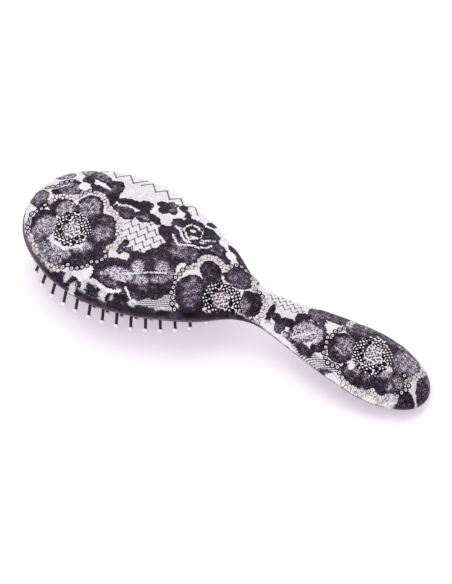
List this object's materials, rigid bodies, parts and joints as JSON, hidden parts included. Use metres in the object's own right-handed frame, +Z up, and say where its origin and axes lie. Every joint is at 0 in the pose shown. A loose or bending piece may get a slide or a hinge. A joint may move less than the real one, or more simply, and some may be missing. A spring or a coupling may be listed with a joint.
{
  "type": "cushion hairbrush",
  "caption": "Oval cushion hairbrush with a lace-printed back and handle, and ball-tipped pins in a domed rubber pad.",
  "frame": {"origin": "centre of the bounding box's underside: the table plane below the middle of the brush", "axes": "+X from the head's tip to the handle's end, +Y across the brush, +Z up through the printed back; the pins point down"},
  "size_m": [0.225, 0.0772, 0.0346],
  "materials": {
    "printed_back": "satin plastic with a black and white lace print",
    "front_plastic": "moulded black plastic, satin",
    "cushion_rubber": "matt black rubber",
    "pin_nylon": "black nylon",
    "ball_tip": "glossy white bead"
  },
  "bodies": {
    "root": {"back_shell": "printed_back", "front_shell": "front_plastic", "cushion_pad": "cushion_rubber"},
    "ring_1": {"pins_ring_1": "pin_nylon", "tips_ring_1": "ball_tip"},
    "ring_2": {"pins_ring_2": "pin_nylon", "tips_ring_2": "ball_tip"},
    "ring_3": {"pins_ring_3": "pin_nylon", "tips_ring_3": "ball_tip"},
    "ring_4": {"pins_ring_4": "pin_nylon", "tips_ring_4": "ball_tip"},
    "ring_5": {"pins_ring_5": "pin_nylon", "tips_ring_5": "ball_tip"},
    "ring_6": {"pins_ring_6": "pin_nylon", "tips_ring_6": "ball_tip"}
  },
  "joints": [
    {"name": "ring_6_press", "type": "slide", "parent": "root", "child": "ring_6", "axis": [0, 0, 1], "range_m": [0, 0.00253], "stiffness_N_per_m": 1500, "deforming": ["cushion_pad"]},
    {"name": "ring_5_press", "type": "slide", "parent": "root", "child": "ring_5", "axis": [0, 0, 1], "range_m": [0, 0.00236], "stiffness_N_per_m": 1500},
    {"name": "ring_4_press", "type": "slide", "parent": "root", "child": "ring_4", "axis": [0, 0, 1], "range_m": [0, 0.00204], "stiffness_N_per_m": 1500},
    {"name": "ring_3_press", "type": "slide", "parent": "root", "child": "ring_3", "axis": [0, 0, 1], "range_m": [0, 0.0016], "stiffness_N_per_m": 1500},
    {"name": "ring_2_press", "type": "slide", "parent": "root", "child": "ring_2", "axis": [0, 0, 1], "range_m": [0, 0.00104], "stiffness_N_per_m": 1500},
    {"name": "ring_1_press", "type": "slide", "parent": "root", "child": "ring_1", "axis": [0, 0, 1], "range_m": [0, 0.000347], "stiffness_N_per_m": 1500}
  ],
  "couplings": [
    {"joint": "ring_5_press", "follows": "ring_6_press", "ratio": 0.9244},
    {"joint": "ring_4_press", "follows": "ring_6_press", "ratio": 0.7996},
    {"joint": "ring_3_press", "follows": "ring_6_press", "ratio": 0.6254},
    {"joint": "ring_2_press", "follows": "ring_6_press", "ratio": 0.4019},
    {"joint": "ring_1_press", "follows": "ring_6_press", "ratio": 0.1291}
  ]
}
